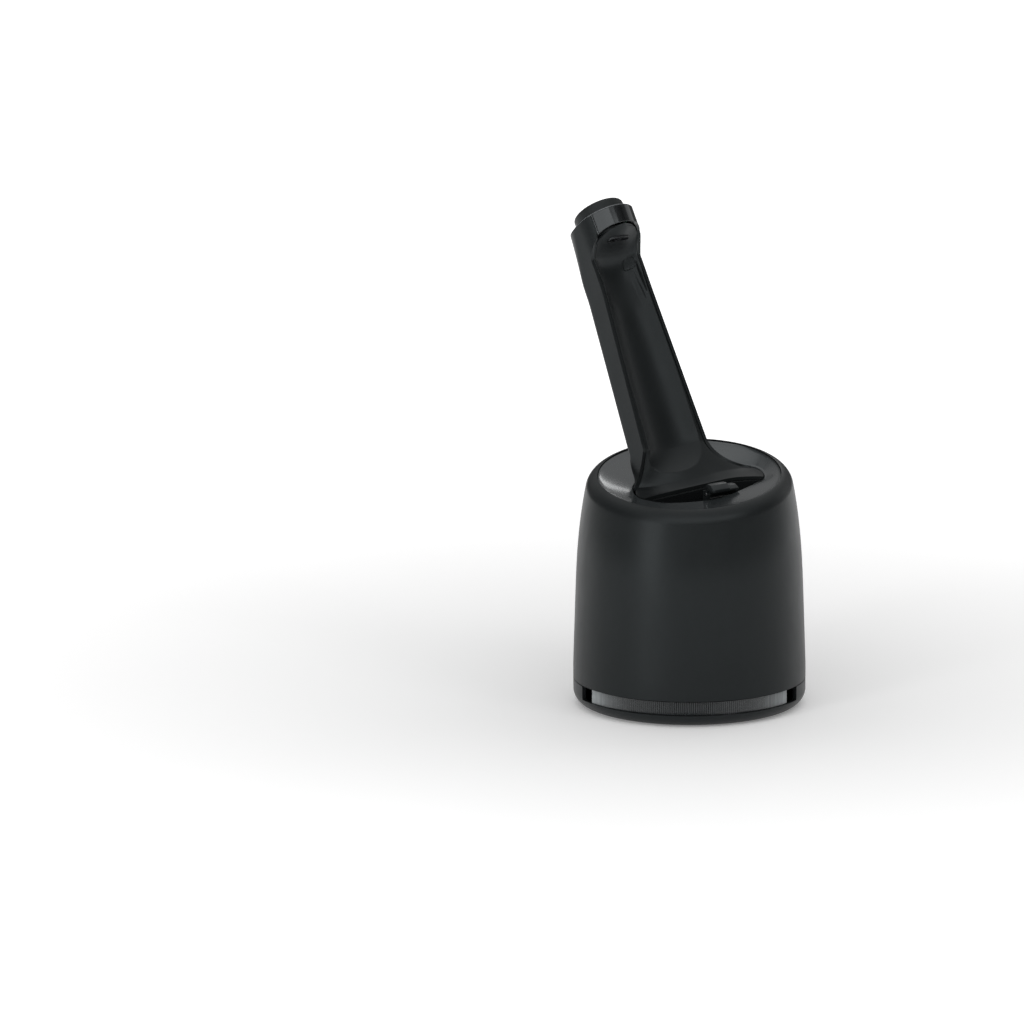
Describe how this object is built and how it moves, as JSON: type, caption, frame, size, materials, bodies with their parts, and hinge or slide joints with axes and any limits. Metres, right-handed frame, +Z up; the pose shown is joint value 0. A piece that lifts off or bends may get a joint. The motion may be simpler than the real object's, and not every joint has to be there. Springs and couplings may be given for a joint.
{
  "type": "shaver cleaning station",
  "caption": "Round dark countertop cleaning station with a slanted dished top, a cleaning bowl, a leaning arm with a contact head and a ribbed cartridge window in its base.",
  "frame": {"origin": "centre of the round underside, on the surface that the station stands on", "axes": "+Z up, -Y towards the side with the cartridge window, the arm leans back and to the left in the plane turned 42 degrees from -Y/+Y"},
  "size_m": [0.1264, 0.1312, 0.267],
  "materials": {
    "pan": "satin dark grey, fine grain",
    "feet": "matt black",
    "cartridge": "smoky, ribbed front band",
    "lid": "smooth grey",
    "filter": "felt",
    "steel": "plain",
    "motor": "zinc plated can",
    "housing": "satin dark grey",
    "dish": "bright satin grey",
    "inner": "plain grey",
    "bearing": "low-friction white plastic",
    "hose": "smooth",
    "board": "green circuit board",
    "socket": "black",
    "collar": "polished",
    "ring": "dark bright ring",
    "ceiling": "plain",
    "contacts": "gilt",
    "leads": "insulated wire"
  },
  "bodies": {
    "base": {"base_pan": "pan", "rubber_feet": "feet", "cartridge_tank": "cartridge", "cartridge_lid": "lid", "cartridge_filter": "filter", "guide_posts": "steel", "post_screws": "steel", "lift_springs": "steel", "latch_catch": "pan"},
    "housing": {"outer_housing": "housing", "dish_ring": "dish", "cleaning_bowl": "dish", "drain_grid": "steel", "drain_spout": "dish", "clip_bracket": "dish", "clip_pin": "steel", "inner_chassis": "inner", "chassis_screws": "steel", "guide_sleeves": "bearing", "pump_motor": "motor", "pump_housing": "inner", "suction_tube": "bearing", "feed_hose": "hose", "control_board": "board", "power_socket": "socket", "socket_pins": "steel", "arm_back_shell": "housing", "arm_front_shell": "housing", "head_collar": "collar", "collar_ring": "ring", "head_ceiling": "ceiling", "contact_block": "socket", "button_board": "board", "arm_leads": "leads"},
    "clip": {"bowl_clip": "dish"},
    "pump_rotor": {"pump_shaft": "steel", "impeller": "bearing"},
    "release": {"release_button": "housing", "latch_slider": "inner"},
    "start": {"start_button": "housing"},
    "pin_left": {"contact_pin_left": "contacts"},
    "pin_right": {"contact_pin_right": "contacts"},
    "tab_left": {"side_tab_left": "housing"},
    "tab_right": {"side_tab_right": "housing"}
  },
  "joints": [
    {"name": "housing_lift", "type": "slide", "parent": "base", "child": "housing", "axis": [0, 0, 1], "range_m": [0, 0.032], "deforming": ["lift_springs"]},
    {"name": "release_press", "type": "slide", "parent": "housing", "child": "release", "axis": [0, -1, 0], "range_m": [0, 0.003], "stiffness_N_per_m": 800},
    {"name": "start_press", "type": "slide", "parent": "housing", "child": "start", "axis": [0.412, -0.4575, -0.788], "range_m": [0, 0.0016], "stiffness_N_per_m": 900},
    {"name": "pin_left_press", "type": "slide", "parent": "housing", "child": "pin_left", "axis": [-0.412, 0.4575, 0.788], "range_m": [0, 0.0012], "stiffness_N_per_m": 400},
    {"name": "pin_right_press", "type": "slide", "parent": "housing", "child": "pin_right", "axis": [-0.412, 0.4575, 0.788], "range_m": [0, 0.0012], "stiffness_N_per_m": 400},
    {"name": "tab_left_press", "type": "slide", "parent": "housing", "child": "tab_left", "axis": [-0.5273, 0.5856, -0.6157], "range_m": [0, 0.001], "stiffness_N_per_m": 500},
    {"name": "tab_right_press", "type": "slide", "parent": "housing", "child": "tab_right", "axis": [-0.5273, 0.5856, -0.6157], "range_m": [0, 0.001], "stiffness_N_per_m": 500},
    {"name": "clip_tilt", "type": "hinge", "parent": "housing", "child": "clip", "pos_m": [0.01679, -0.01341, 0.11749], "axis": [0.7431, 0.6691, 0], "range_deg": [0, 12], "stiffness_Nm_per_rad": 0.05},
    {"name": "pump_spin", "type": "hinge", "parent": "housing", "child": "pump_rotor", "pos_m": [-0.02029, 0.0046, 0.0611], "axis": [0, 0, 1], "continuous": true}
  ]
}
